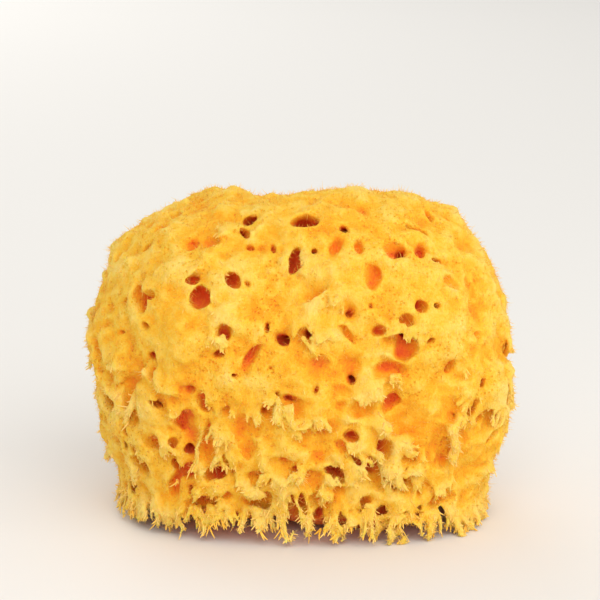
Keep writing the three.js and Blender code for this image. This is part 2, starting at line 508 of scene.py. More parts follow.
FRONT_CANALS = [
    # x and z on the pane, width, height, lean in degrees, depth: the canals that open at the front
    (0.4, 72.5, 3.8, 2.8, 0, 13),
    (3.2, 72.5, 1.6, 1.6, 0, 6),
    (-10.0, 74.0, 2.8, 1.6, 25, 11),
    (-11.5, 70.7, 1.3, 2.6, 0, 10),
    (-11.3, 67.0, 1.8, 1.6, 0, 5),
    (-9.0, 67.0, 1.3, 1.6, 0, 3),
    (-6.4, 66.9, 1.0, 1.8, 0, 4),
    (-0.9, 64.1, 2.8, 4.4, -15, 9),
    (3.0, 66.6, 1.2, 1.2, 0, 3),
    (21.3, 66.2, 1.8, 1.8, 0, 9),
    (9.0, 71.2, 1.6, 1.2, 0, 9),
    (25.3, 66.0, 1.8, 2.6, 0, 5),
    (-22.4, 60.2, 3.2, 2.0, 15, 6),
    (-21.3, 56.2, 3.8, 3.6, 0, 9),
    (-14.4, 60.1, 2.8, 3.0, 0, 8),
    (-11.8, 59.2, 0.9, 0.9, 0, 3),
    (15.2, 54.7, 1.0, 1.0, 0, 3),
    (9.9, 52.8, 1.6, 1.8, 0, 6),
    (24.8, 54.9, 2.4, 2.8, 0, 7),
    (-7.1, 50.3, 1.0, 2.0, 0, 6),
    (-3.7, 47.6, 3.2, 2.6, 10, 10),
    (1.8, 48.9, 1.8, 2.0, 0, 8),
    (-16.5, 48.8, 2.8, 2.6, 30, 6),
    (-17.6, 44.4, 2.4, 1.4, 0, 5),
    (-10.6, 43.2, 2.0, 5.4, -35, 6),
    (9.9, 48.7, 1.4, 4.4, 50, 4),
    (16.3, 49.1, 2.6, 2.0, -10, 5),
    (22.6, 47.8, 3.0, 2.2, 0, 12),
    (22.0, 46.0, 5.2, 4.6, 0, 6),
    (11.0, 39.4, 1.8, 1.8, 0, 9),
    (-6.0, 41.2, 0.9, 1.0, 0, 2),
    (-14.1, 39.4, 1.4, 0.8, 0, 3),
    (2.6, 36.6, 0.8, 1.2, 0, 3),
    (19.3, 33.8, 3.2, 4.0, -10, 6),
    (-2.1, 33.9, 2.6, 1.3, -10, 5),
    (-7.5, 31.0, 1.5, 1.6, 20, 5),
    (-6.8, 32.3, 1.0, 1.8, 0, 3),
    (11.2, 26.1, 3.2, 2.0, 0, 5),
    (16.9, 23.6, 1.5, 3.8, 0, 6),
    (-23.8, 22.8, 2.2, 2.4, 0, 7),
    (-24.2, 17.8, 2.4, 3.2, 0, 6),
    (7.4, 17.5, 4.6, 2.8, -18, 8),
    (-17.5, 17.3, 3.4, 2.8, 0, 8),
    (-2.2, 9.8, 1.3, 5.4, -5, 7),
    (0.2, 10.8, 1.3, 4.0, 0, 6),
    (3.5, 7.6, 2.2, 4.2, 0, 6),
    (18.3, 7.8, 1.4, 3.4, 0, 6),
    (22.0, 15.0, 1.0, 2.4, -20, 4),
    (19.8, 15.6, 1.0, 2.4, 0, 4),
    (25.0, 14.2, 1.2, 3.0, 0, 4),
    (-2.9, 6.2, 1.0, 1.6, 0, 5),
    (22.8, 6.5, 2.8, 2.8, 0, 5),
    (8.8, 8.6, 1.2, 2.6, 0, 4),
    (10.5, 5.4, 2.2, 2.4, 0, 4),
]
FRONT_DENTS = [
    # the same: shallow hollows with soft edges
    (0.8, 72.4, 5.6, 3.6, 0, 1.4),
    (-19.0, 69.5, 4.2, 3.0, 0, 2.4),
    (-23.8, 68.3, 2.8, 3.8, 0, 2.4),
    (7.5, 67.5, 2.4, 3.4, 0, 1.2),
    (12.1, 67.4, 2.2, 2.8, 0, 1.8),
    (19.6, 66.8, 4.2, 3.6, 0, 2.4),
    (15.0, 62.0, 3.6, 5.2, 10, 2.4),
    (9.9, 52.6, 2.4, 4.2, 0, 1.6),
    (-3.7, 48.6, 4.0, 3.4, 30, 1.8),
    (1.8, 47.8, 2.6, 4.2, 0, 1.6),
    (22.4, 50.9, 2.4, 3.2, 0, 2.2),
    (19.0, 46.8, 4.4, 2.2, 15, 1.8),
    (11.0, 41.6, 3.2, 5.0, -10, 2.8),
    (19.4, 40.8, 7.0, 4.2, -10, 2.8),
    (3.6, 42.0, 4.6, 3.8, 0, 1.2),
    (-22.8, 36.6, 2.8, 2.2, 0, 2.0),
    (-20.3, 33.0, 2.8, 4.6, -10, 2.6),
    (-24.4, 30.2, 3.0, 3.0, 0, 1.2),
    (-23.8, 26.4, 3.8, 4.8, 0, 2.2),
    (-19.9, 26.4, 2.0, 4.2, 0, 2.2),
    (-19.7, 22.2, 3.4, 6.4, -10, 2.4),
    (-23.2, 13.8, 1.3, 2.2, -30, 2.6),
    (-21.0, 10.6, 4.6, 4.8, 0, 3.2),
    (-16.0, 12.2, 2.6, 1.7, 0, 1.6),
    (-17.4, 7.6, 3.0, 2.6, 0, 2.8),
    (-14.5, 17.8, 1.4, 2.8, 0, 1.6),
    (-19.3, 16.8, 2.4, 2.6, 0, 2.4),
    (-9.0, 16.8, 3.6, 2.8, 0, 1.5),
    (-7.3, 12.0, 2.8, 2.4, 0, 3.0),
    (-10.3, 11.0, 3.4, 1.7, 0, 2.6),
    (-8.6, 10.0, 3.6, 3.2, 0, 2.2),
    (-3.0, 20.2, 4.2, 1.6, -5, 2.4),
    (-3.4, 18.6, 5.0, 3.0, 0, 1.0),
    (-11.8, 22.2, 2.2, 2.0, 0, 1.5),
    (-13.0, 27.6, 3.4, 7.2, 0, 1.6),
    (-7.0, 30.0, 3.2, 5.0, 0, 1.8),
    (-5.8, 34.2, 2.2, 2.8, -20, 1.6),
    (-2.5, 32.0, 5.0, 4.4, 0, 1.6),
    (-15.9, 32.2, 1.4, 1.8, 0, 1.5),
    (0.0, 5.6, 2.4, 1.8, 0, 2.0),
    (8.5, 33.0, 1.8, 2.4, -10, 1.4),
    (13.5, 32.2, 5.4, 4.2, 0, 1.8),
    (3.9, 27.6, 3.8, 3.4, 0, 2.6),
    (18.2, 23.3, 2.2, 3.8, 0, 2.4),
    (8.6, 23.6, 2.0, 3.2, 20, 2.0),
    (3.5, 21.3, 2.4, 2.8, 0, 1.4),
    (3.6, 24.2, 3.8, 3.2, 0, 1.0),
    (15.2, 19.8, 2.2, 3.4, 0, 0.9),
    (23.6, 21.4, 3.2, 3.0, 0, 1.2),
    (25.4, 29.4, 2.4, 4.2, -20, 1.2),
    (22.6, 26.2, 2.0, 1.8, 0, 1.2),
    (7.6, 14.2, 2.4, 1.4, 0, 1.6),
    (16.6, 15.0, 1.2, 2.8, 45, 1.8),
    (13.8, 10.6, 3.0, 2.4, 40, 2.4),
    (13.8, 8.2, 2.2, 2.6, 0, 1.6),
    (18.0, 8.2, 2.4, 5.2, 0, 2.8),
    (3.6, 11.2, 2.4, 2.8, 0, 2.4),
    (7.2, 6.0, 1.6, 2.6, 0, 2.0),
    (24.6, 10.2, 2.2, 2.6, 0, 3.0),
    (21.3, 9.9, 1.8, 1.8, 0, 1.6),
    (-12.5, 6.3, 1.5, 2.6, 0, 3.0),
    (-9.9, 5.4, 1.6, 1.6, 0, 3.0),
    (-7.8, 6.0, 1.8, 1.6, 0, 2.6),
]
FRONT_LOBES = [
    # x and z of the lower edge, width, length, lean in degrees, lift off the body, fingers, their length
    (-16.8, 70.6, 3.0, 4.0, -60, 0.6, 4, 1.2),
    (0.9, 65.2, 1.6, 3.0, 0, 0.5, 2, 1.0),
    (7.4, 54.8, 3.0, 4.0, -20, 0.6, 4, 1.4),
    (2.9, 50.6, 1.8, 3.0, 0, 0.6, 2, 1.2),
    (22.8, 49.4, 2.8, 4.0, 0, 0.7, 3, 1.6),
    (4.6, 46.8, 7.5, 8.0, 25, 0.9, 6, 2.0),
    (-17.8, 46.8, 4.0, 5.0, 0, 0.8, 4, 1.4),
    (20.0, 38.6, 3.0, 4.0, 0, 0.7, 4, 1.6),
    (-18.4, 32.6, 4.5, 6.0, -25, 0.9, 4, 1.6),
    (-14.4, 31.6, 2.0, 6.0, 0, 0.7, 1, 2.0),
    (-10.2, 29.8, 4.0, 7.0, 0, 0.9, 3, 2.2),
    (-18.2, 26.0, 4.5, 6.0, -15, 0.9, 4, 1.8),
    (-14.5, 24.5, 5.5, 8.0, 10, 0.8, 4, 2.0),
    (-17.4, 19.8, 2.6, 6.0, 0, 0.9, 2, 2.0),
    (-13.8, 20.0, 3.0, 6.0, 5, 0.8, 3, 1.8),
    (-22.6, 20.6, 1.6, 11.0, -16, 1.2, 1, 2.8),
    (-22.8, 12.6, 1.6, 8.0, -32, 1.2, 2, 2.6),
    (-18.2, 13.8, 4.0, 5.0, -50, 0.9, 5, 1.8),
    (-17.0, 10.4, 3.0, 4.0, -40, 0.9, 4, 1.6),
    (-11.8, 14.6, 3.0, 6.0, -10, 0.8, 3, 1.6),
    (-9.3, 13.4, 3.4, 6.0, 15, 0.8, 4, 1.8),
    (-8.2, 19.4, 2.2, 5.0, 0, 0.7, 3, 1.4),
    (-7.7, 16.6, 2.4, 4.0, 10, 0.8, 3, 1.6),
    (-5.2, 16.0, 2.4, 5.0, 0, 0.7, 3, 1.6),
    (-1.2, 17.0, 4.0, 5.0, -15, 0.8, 5, 1.8),
    (-3.9, 11.8, 2.6, 5.0, 10, 0.9, 3, 2.0),
    (-0.2, 28.0, 4.0, 5.0, 15, 0.8, 4, 2.0),
    (-3.8, 30.2, 4.4, 6.0, 0, 0.8, 5, 1.8),
    (1.9, 29.8, 2.4, 5.0, -20, 0.8, 3, 2.4),
    (4.6, 29.8, 2.2, 5.0, 5, 1.0, 3, 2.4),
    (-5.2, 32.6, 2.0, 5.0, -30, 0.8, 2, 1.4),
    (-6.6, 34.0, 1.8, 4.0, -30, 0.8, 2, 1.2),
    (12.5, 35.2, 3.0, 4.0, -10, 0.6, 3, 1.2),
    (15.4, 35.0, 2.6, 4.0, 0, 0.6, 3, 1.2),
    (17.4, 26.6, 2.2, 4.0, 0, 0.7, 2, 1.4),
    (16.4, 21.8, 3.4, 5.0, 0, 0.6, 3, 1.6),
    (8.2, 20.6, 2.4, 4.5, 0, 0.7, 2, 1.4),
    (12.0, 22.6, 4.0, 5.0, 0, 0.3, 3, 1.6),
    (14.2, 19.8, 2.4, 5.0, 0, 0.8, 2, 1.8),
    (12.0, 17.4, 5.0, 5.0, 60, 0.9, 5, 2.4),
    (6.4, 15.8, 3.4, 5.0, 0, 0.8, 4, 1.8),
    (4.9, 12.8, 3.0, 5.0, -10, 0.9, 4, 2.0),
    (18.2, 16.8, 2.8, 5.0, 0, 0.9, 3, 2.0),
    (21.0, 16.0, 2.4, 6.0, 10, 1.0, 3, 2.2),
    (23.6, 23.0, 3.0, 5.0, 80, 0.9, 3, 2.0),
    (24.6, 14.4, 2.6, 5.0, 10, 1.0, 3, 2.0),
    (24.0, 18.6, 3.0, 5.0, 0, 0.9, 3, 2.0),
    (14.8, 9.8, 2.0, 3.5, -80, 0.9, 3, 1.4),
    (20.4, 9.8, 2.4, 5.0, 35, 1.2, 4, 2.2),
    (18.6, 8.0, 2.4, 5.0, -40, 1.2, 4, 2.4),
    (24.2, 9.6, 2.2, 6.0, 50, 1.3, 3, 2.4),
    (10.5, 10.0, 5.0, 6.0, 0, 0.9, 4, 2.2),
]
HOLLOW_ROWS = [
    # z of a row of hollows round the sides and the back, and how many
    (36.0, 16),
    (30.0, 19),
    (24.0, 20),
    (18.0, 21),
    (12.0, 21),
]
FRONT_SIDE = 26.0
UNEVEN_BEAT = 5
HEM_LOBES = 118
HEM_UNEVEN = 0.3
HEM_ROOTS = (12.0, 16.0)
HEM_SPLAY = 0.02
HEM_LEAN = 7.0
HEM_FINGERS = (3.0, 5.0)
HEM_LOWEST = 0.3
HEM_RAISED = 3.4
HEM_RAISED_POWER = 5
HEM_SHORTER = (0.0, 1.2)
HEM_FINGER_SHARE = 0.6
HEM_WIDTHS = (2.2, 4.2)
HEM_SUNK = 1.4
HEM_LIFTS = (-0.7, 0.7)
HEM_THICKNESS = 2.4
HEM_STOUTNESS = 1.05
HEM_FEWEST = 1.4
HEM_FINGER_PITCH = 1.3
BROADER = 1.1


def uneven_bearing(index, count, uneven, shift=0.0):
    """The bearing in radians of one of count places round an oval as wide and deep as the block: even steps
    with a shift, each pushed on or back by a sine."""
    turn = 2 * math.pi * (index + uneven * math.sin(UNEVEN_BEAT * index) + shift) / count
    return math.atan2(DEPTH * math.sin(turn), WIDTH * math.cos(turn))


def hem_edge(bearing):
    """How high above the floor the hem's fringe ends on a bearing: low but for one raised side."""
    return HEM_LOWEST + HEM_RAISED * raised_share(bearing) ** HEM_RAISED_POWER


# The hem: lobes that hang down all round, close together. Their fringes wait until the hollows are cut.
hem_fringes = []
for index in range(HEM_LOBES):
    bearing = uneven_bearing(index, HEM_LOBES, HEM_UNEVEN)
    point = level_point(bearing, random.uniform(*HEM_ROOTS))
    outward = unit(outward_at(point) * (1, 1, 0))
    down = unit(np.array([0, 0, -1.0]) + HEM_SPLAY * outward)
    axes = turned(np.array([np.cross(down, outward), down, outward]), random.normal(0, HEM_LEAN))
    finger_length = random.uniform(*HEM_FINGERS)
    length = point[2] - hem_edge(bearing) - random.uniform(*HEM_SHORTER) - HEM_FINGER_SHARE * finger_length
    width = random.uniform(*HEM_WIDTHS)
    root, lift = point - HEM_SUNK * outward, random.uniform(*HEM_LIFTS)
    lobe(root, axes, width, length, lift, HEM_THICKNESS)
    fingers = int(HEM_FEWEST + width / HEM_FINGER_PITCH)
    hem_fringes.append((root, axes, BROADER * width, length, lift, fingers, finger_length, HEM_STOUTNESS))

ROW_UNEVEN = 0.35
ROW_SHIFT = 0.13
ROW_STRAY = (-3.0, 3.0)
ROW_SIZES = [
    # the least and the most of the widths, of the heights and of the depths
    (2.0, 5.0),
    (2.2, 5.5),
    (1.2, 4.5),
]
ROW_LEAN = 22.0
ROW_LOBE_LENGTHS = (4.0, 8.0)
ROW_LOBE_SHARES = (0.9, 1.4)
ROW_LOBE_LIFT = 0.9
ROW_SPREAD = 1.2
ROW_DEEPER = 1.2
ROW_RISE = 0.8
ROW_SOFTNESS = 1.0
ROW_FINGERS = (2, 6)
ROW_FINGER_LENGTHS = (1.4, 3.0)
LOBE_THICKNESS = 2.8

# The lower half away from the front: rows of hollows, each with a fringed lobe that hangs down to it.
for z, count in HOLLOW_ROWS:
    for index in range(count):
        bearing = uneven_bearing(index, count, ROW_UNEVEN, ROW_SHIFT * count)
        point = level_point(bearing, z + random.uniform(*ROW_STRAY))
        width, height, depth = (random.uniform(*limits) for limits in ROW_SIZES)
        if point[1] < 0 and abs(point[0]) < FRONT_SIDE:
            continue
        axes = turned(frame_at(point), random.normal(0, ROW_LEAN))
        length = random.uniform(*ROW_LOBE_LENGTHS)
        root = point - axes[1] * (height / 2 + length)
        breadth = width * random.uniform(*ROW_LOBE_SHARES)
        lobe(root, axes, breadth, length, ROW_LOBE_LIFT, LOBE_THICKNESS)
        size = (ROW_SPREAD * width, ROW_SPREAD * height, depth + ROW_DEEPER)
        bore(point + ROW_RISE * axes[2], axes, *size, softness=ROW_SOFTNESS)
        fingers = random.integers(*ROW_FINGERS)
        fringe(root, axes, breadth, length, ROW_LOBE_LIFT, fingers, random.uniform(*ROW_FINGER_LENGTHS))

MOUTH_RISE = 0.6
FINE_RAGGED = 0.6
DENT_SPREAD = 1.15
DENT_DEPTH_SHARE = 0.8
DENT_DEEPER = 1.1
DENT_SOFTNESS = 1.3
CANAL_TILT = 1.6
CANAL_SPREAD = 1.2
CANAL_WIDER = 0.1
CANAL_DEPTH_SHARE = 0.75
CANAL_DEEPER = 0.8
CANAL_DRIFT = 0.15

# The front, in the order that keeps the openings clear: lobes, dents, the hem's fringe, canals, and the
# lobes' fringes. A canal leans toward the eye, so that its dark end shows.
front_fringes = []
for x, z, width, length, lean, lift, fingers, finger_length in FRONT_LOBES:
    point = front_point(x, z)
    axes = turned(frame_at(point), lean)
    root = point - length * axes[1]
    lobe(root, axes, BROADER * width, length, lift, LOBE_THICKNESS)
    front_fringes.append((root, axes, width, length, lift, fingers, finger_length))
for x, z, width, height, lean, depth in FRONT_DENTS:
    point = front_point(x, z)
    axes = turned(frame_at(point), lean)
    size = (DENT_SPREAD * width, DENT_SPREAD * height, DENT_DEPTH_SHARE * depth + DENT_DEEPER)
    bore(point + MOUTH_RISE * axes[2], axes, *size, softness=DENT_SOFTNESS, ragged=FINE_RAGGED)
for fringe_sizes in hem_fringes:
    fringe(*fringe_sizes)
for x, z, width, height, lean, depth in FRONT_CANALS:
    point = front_point(x, z)
    drift = random.uniform(-CANAL_DRIFT, CANAL_DRIFT, 2) * (width + height)
    axes = turned(frame_about(unit(outward_at(point) + CANAL_TILT * unit(EYE - point))), lean)
    mouth = (CANAL_SPREAD * width + CANAL_WIDER, CANAL_SPREAD * height + CANAL_WIDER)
    depth = CANAL_DEPTH_SHARE * depth + CANAL_DEEPER
    bore(point + MOUTH_RISE * axes[2], axes, *mouth, depth, drift, ragged=FINE_RAGGED)
for fringe_sizes in front_fringes:
    fringe(*fringe_sizes)

GOLDEN_TURN = math.pi * (3 - math.sqrt(5))
CROWN_SINE = 0.96
ROUND_CANALS = 34
ROUND_LOWEST = -0.5
ROUND_SIZES = [
    # the middle of the widths, of the heights and of the depths, and how far they swing to either side
    (3.2, 1.6),
    (4.0, 1.4),
    (7.0, 3.0),
]
ROUND_BEATS = (2.3, 3.7, 1.9)
ROUND_LEAN = 47
ROUND_DRIFT = 2.0
FRONT_WINDOW = 0.62
SMALL_OPENINGS = 190
SMALL_LOWEST = -0.45
SMALL_STRAY = 0.12
SMALL_LEAN = 40
SMALL_SPREAD = (4.0, 0.42)
SMALL_LEAST = 0.6
SMALL_DEPTHS = (3.0, 7.0)
SMALL_DRIFT = 1.0
DENT_EVERY = 3
DENT_WIDER = 1.6
DENT_DEPTHS = (1.6, 3.2)


def spiral_direction(index, count, lowest_sine, stray=0.0):
    """The direction of one of count even places on a spiral from the crown down to a height angle with the
    lowest sine: each place is a golden turn and its own stray, in radians, further round than the last."""
    sine = CROWN_SINE + (lowest_sine - CROWN_SINE) * index / (count - 1)
    return bearing_direction(math.degrees(index * GOLDEN_TURN + stray), math.degrees(math.asin(sine)))


# The sides, the back and the top: canals on a spiral, with sizes and depths that rise and fall by sines.
for index in range(ROUND_CANALS):
    direction = spiral_direction(index, ROUND_CANALS, ROUND_LOWEST)
    if direction[1] < -FRONT_WINDOW:
        continue
    point = side_point(direction)
    angles = [beat * index for beat in ROUND_BEATS]
    swings = (math.sin(angles[0]), math.cos(angles[1]), math.sin(angles[2]))
    size = [middle + most * swing for (middle, most), swing in zip(ROUND_SIZES, swings)]
    axes = turned(frame_at(point), ROUND_LEAN * index)
    bore(point, axes, *size, random.uniform(-ROUND_DRIFT, ROUND_DRIFT, 2))

# Small openings on a closer spiral, of sizes from a gamma distribution: every third one a shallow dent.
for index in range(SMALL_OPENINGS):
    stray = random.normal(0, SMALL_STRAY)
    point = side_point(spiral_direction(index, SMALL_OPENINGS, SMALL_LOWEST, stray))
    if point[1] < 0 and abs(point[0]) < FRONT_SIDE:
        continue
    size = random.gamma(*SMALL_SPREAD, 2) + SMALL_LEAST
    axes = turned(frame_at(point), SMALL_LEAN * index)
    mouth = point + MOUTH_RISE * axes[2]
    if index % DENT_EVERY == 0:
        bore(mouth, axes, *(size + DENT_WIDER), random.uniform(*DENT_DEPTHS), softness=DENT_SOFTNESS)
    else:
        depth = random.uniform(*SMALL_DEPTHS)
        bore(mouth, axes, *size, depth, random.uniform(-SMALL_DRIFT, SMALL_DRIFT, 2), ragged=FINE_RAGGED)

# The cut base is the plane at height 0. The depths within three grid steps of 0 become the skin.
BAND = 3 * VOXEL
grid = np.minimum(grid, zs[None, None, :])
volume = openvdb.FloatGrid(BAND)
volume.copyFromArray(np.clip(-grid, -BAND, BAND))
points, quads = volume.convertToQuads(isovalue=0.0)
points = points * VOXEL + grid_low


def largest_piece(points, faces):
    """The largest connected piece: each point takes the lowest number among its neighbours, over and over,
    until nothing changes."""
    label = np.arange(len(points))
    edges = np.concatenate([faces[:, [i, (i + 1) % faces.shape[1]]] for i in range(faces.shape[1])])
    while True:
        lowest = label.copy()
        smaller = np.minimum(label[edges[:, 0]], label[edges[:, 1]])
        np.minimum.at(lowest, edges[:, 0], smaller)
        np.minimum.at(lowest, edges[:, 1], smaller)
        np.minimum.at(lowest, label, lowest.copy())
        lowest = lowest[lowest]
        lowest = lowest[lowest]
        if (lowest == label).all():
            break
        label = lowest
    names, counts = np.unique(label, return_counts=True)
    keep = label == names[counts.argmax()]
    renumbered = np.cumsum(keep) - 1
    return points[keep], renumbered[faces[keep[faces[:, 0]]]]


def skin_object(name, points, *faces):
    """An object from points in mm and arrays of faces, each array of faces with one number of corners."""
    mesh = bpy.data.meshes.new(name)
    corners = np.concatenate([group.ravel() for group in faces]).astype(np.int32)
    sizes = np.concatenate([np.full(len(group), group.shape[1]) for group in faces])
    mesh.vertices.add(len(points))
    mesh.vertices.foreach_set("co", np.asarray(points * MM, np.float32).ravel())
    mesh.loops.add(len(corners))
    mesh.loops.foreach_set("vertex_index", corners)
    mesh.polygons.add(len(sizes))
    mesh.polygons.foreach_set("loop_start", (np.cumsum(sizes) - sizes).astype(np.int32))
    mesh.update(calc_edges=True)
    mesh.shade_smooth()
    return plain_object(name, mesh)


def thinned(piece, triangles):
    """Merges the flattest triangles of a piece until only so many are left."""
    piece.data.calc_loop_triangles()
    decimate = piece.modifiers.new("thin", "DECIMATE")
    decimate.ratio = min(1.0, triangles / len(piece.data.loop_triangles))
    final = bpy.data.meshes.new_from_object(piece.evaluated_get(bpy.context.evaluated_depsgraph_get()))
    piece.modifiers.clear()
    old, piece.data = piece.data, final
    bpy.data.meshes.remove(old)
    final.name = piece.name
    final.shade_smooth()


def mesh_points(piece):
    """The points of a piece in mm."""
    found = np.empty(len(piece.data.vertices) * 3, np.float32)
    piece.data.vertices.foreach_get("co", found)
    return found.reshape(-1, 3) / MM


BODY_TRIANGLES = 195000
COARSE = 2
COARSE_STEP = COARSE * VOXEL

# The kept skin is 1 on a coarser grid beside the piece that is kept, and tells which fingers belong to it.
points, quads = largest_piece(points, quads)
kept_skin = np.zeros(grid_counts // COARSE + 2, np.float32)
kept_skin[tuple(np.rint((points - grid_low) / COARSE_STEP).astype(int).T)] = 1
sponge_body = skin_object("sponge_body", points, quads)
thinned(sponge_body, BODY_TRIANGLES)
skin = mesh_points(sponge_body)
skin[:, 2] = np.maximum(skin[:, 2], 0)
sponge_body.data.vertices.foreach_set("co", (skin * MM).ravel())


def blurred(field, reach):
    """A field averaged along each axis, twice, over the reach in grid points to either side."""
    size = 2 * reach + 1
    for axis in (0, 1, 2):
        margins = [(reach + 1, reach) if each == axis else (0, 0) for each in (0, 1, 2)]
        for _ in range(2):
            total = np.cumsum(np.pad(field, margins, mode="edge"), axis, dtype=np.float64)
            last = np.take(total, range(size, total.shape[axis]), axis)
            first = np.take(total, range(0, total.shape[axis] - size), axis)
            field = ((last - first) / size).astype(np.float32)
    return field


def sampled(field, spacing, points):
    """A grid field at points in mm, mixed from the eight grid points round each."""
    place = (points - grid_low) / spacing
    near = np.clip(np.floor(place).astype(int), 0, np.array(field.shape) - 2)
    share = np.clip(place - near, 0, 1)
    total = np.zeros(len(points))
    for corner in np.ndindex(2, 2, 2):
        weight = np.prod(np.where(np.array(corner), share, 1 - share), axis=1)
        total += weight * field[tuple((near + corner).T)]
    return total


# How hollow each point of the skin is, for its colour, which paints shade: the more hollow, the darker.
# It comes from the share of fibre within a short and a long reach, on the coarser grid: half on a flat,
# less on a ridge, more in a hollow. The painted shade also grows deep below the smooth block, on undersides,
# under the lobes and near the hem.
NEAR_REACH = 1.8
FAR_REACH = 4.8
BASE_HEIGHT = 1.0
NEAR_WEIGHT = 0.5
DEEP_SHADE_WEIGHT = 0.04
DEEP_FROM = 2.6
DEEP_MOST = 10.0
UNDERSIDE_SHADE_WEIGHT = 0.14
SHADE_WEIGHT = 0.3
SHADE_HEIGHTS = (2.0, 8.0)
SHADE_DEPTHS = (1.5, 4.0)
HEM_SHADE_WEIGHT = 0.2
HEM_HEIGHTS = (3.0, 13.0)

coarse_zs = zs[::COARSE]
coarse = np.clip(grid[::COARSE, ::COARSE, ::COARSE] / VOXEL + 0.5, 0, 1)
coarse[:, :, coarse_zs < BASE_HEIGHT] = coarse[:, :, [int(np.searchsorted(coarse_zs, BASE_HEIGHT))]]
near_fill = blurred(coarse, max(1, round(NEAR_REACH / COARSE_STEP)))
far_fill = blurred(coarse, max(1, round(FAR_REACH / COARSE_STEP)))
near_share = sampled(near_fill, COARSE_STEP, skin)
far_share = sampled(far_fill, COARSE_STEP, skin)
below = sampled(hull, VOXEL, skin)
facing = np.empty(len(skin) * 3, np.float32)
sponge_body.data.vertex_normals.foreach_get("vector", facing)
# Painted shade: the colour darkens with the share of fibre round a point and with its depth below the smooth
# block.
hollow = far_share + NEAR_WEIGHT * (near_share - 0.5)
hollow += DEEP_SHADE_WEIGHT * np.clip(below - DEEP_FROM, 0, DEEP_MOST)
# Painted shade on the undersides, which face the floor.
hollow += UNDERSIDE_SHADE_WEIGHT * np.clip(-facing.reshape(-1, 3)[:, 2], 0, 1)
# Painted shade in the undercut under the hem, and darker toward the floor near the hem.
hollow += SHADE_WEIGHT * (1 - smooth_step(*SHADE_HEIGHTS, skin[:, 2])) * smooth_step(*SHADE_DEPTHS, below)
hollow += HEM_SHADE_WEIGHT * (1 - smooth_step(*HEM_HEIGHTS, skin[:, 2]))

FRONT_LIGHT_AND_SHADE_PATCHES = [
    # x, z, half width, half height of a soft patch at the front, and how much more hollow it counts: painted
    # shade where more, painted light where less
    (2.0, 71.0, 8.0, 4.0, 0.14),
    (-21.0, 70.0, 5.0, 4.5, 0.15),
    (23.5, 70.0, 5.0, 5.0, 0.14),
    (23.5, 60.0, 5.0, 6.0, 0.08),
    (2.0, 61.5, 8.0, 4.5, -0.10),
    (-3.5, 52.5, 6.0, 4.5, 0.05),
    (-24.5, 44.0, 3.0, 9.0, 0.10),
    (6.5, 48.0, 4.0, 4.0, -0.08),
    (3.7, 41.0, 4.0, 3.5, 0.10),
    (22.5, 40.5, 4.5, 2.5, 0.08),
    (-12.0, 38.5, 9.0, 3.0, -0.08),
    (-12.2, 34.5, 4.0, 1.6, 0.10),
    (23.0, 34.5, 3.0, 3.0, -0.10),
    (22.0, 29.5, 3.5, 3.0, -0.20),
    (25.8, 28.5, 2.0, 4.0, 0.14),
    (-15.5, 28.0, 4.5, 4.0, -0.06),
    (-24.0, 26.0, 4.5, 8.0, 0.18),
    (-7.0, 25.5, 4.5, 4.0, 0.06),
    (-6.0, 15.5, 6.0, 3.0, -0.08),
    (17.0, 14.0, 6.0, 4.0, -0.08),
    (-24.0, 12.0, 5.0, 8.0, 0.17),
    (25.5, 9.0, 3.0, 5.0, 0.10),
    (-17.5, 7.0, 8.0, 3.0, 0.12),
]
PATCH_FADE = (-6.0, 4.0)
HOLLOW_RANGE = (0.24, 1.0)
sight_share = (PANE - EYE[1]) / (skin[:, 1] - EYE[1])
seen_x, seen_z = (EYE[i] + (skin[:, i] - EYE[i]) * sight_share for i in (0, 2))
front_share = 1 - smooth_step(*PATCH_FADE, skin[:, 1])
# Painted light and shade: soft patches at the front that make the colour darker or paler.
for x, z, half_width, half_height, added in FRONT_LIGHT_AND_SHADE_PATCHES:
    apart = ((seen_x - x) / half_width) ** 2 + ((seen_z - z) / half_height) ** 2
    hollow += added * front_share * np.exp(-apart)


def put_attribute(piece, name, values):
    """One number for each point of a piece, for its material."""
    attribute = piece.data.attributes.new(name, "FLOAT", "POINT")
    attribute.data.foreach_set("value", np.asarray(values, np.float32))


put_attribute(sponge_body, "hollow", np.clip(hollow, *HOLLOW_RANGE))


def linear(red, green, blue):
    """A screen colour of 0 to 255 as the light shares that nodes work in, by the sRGB curve."""
    shares = np.array([red, green, blue]) / 255
    lit = np.where(shares <= 0.04045, shares / 12.92, ((shares + 0.055) / 1.055) ** 2.4)
    return (*lit, 1.0)


FIBRE_AND_SHADE_COLOURS = [
    # hollow, and the colour there, darkened toward the hollows as painted shade: pale tips, golden felt,
    # orange dents, red and brown canals
    (0.10, linear(255, 216, 118)),
    (0.32, linear(255, 205, 84)),
    (0.46, linear(254, 192, 56)),
    (0.60, linear(253, 175, 38)),
    (0.74, linear(252, 157, 38)),
    (0.88, linear(251, 134, 46)),
    (1.00, linear(245, 114, 52)),
]
DYE_NOISES = [
    # scale, detail, roughness and distortion of a noise, and its weight: patches, mottles and fine specks
    (95, 2.0, 0.5, 0.0, 0.5),
    (420, 3.0, 0.6, 0.6, 0.55),
    (2100, 2.0, 0.6, 0.0, 0.36),
]
PINHOLE_CELLS = {"Scale": 1050, "Randomness": 1.0}
PINHOLE_RIM = 0.32
PINHOLE_CORE = 0.12
PINHOLE_PATCHES = 120
PINHOLE_FADE = 0.12
FELT_NOISE = (1300, 3.0, 0.6)
FELT_GRAIN = (3600, 3600, 500)
FELT_TURNS = ((0.3, 0.5, 0.2), (1.2, -0.4, 0.9), (-0.7, 1.1, 2.2))
FELT_WEIGHT = 1.4
BODY_PINHOLES = 0.55
PINHOLE_SHADE = 0.2
PINHOLE_HEIGHT = -2.0
FELT_BUMP = {"Strength": 0.75, "Distance": 0.0003}
BODY_UNEVENNESS = 1.0
LOOSE_UNEVENNESS = 0.5
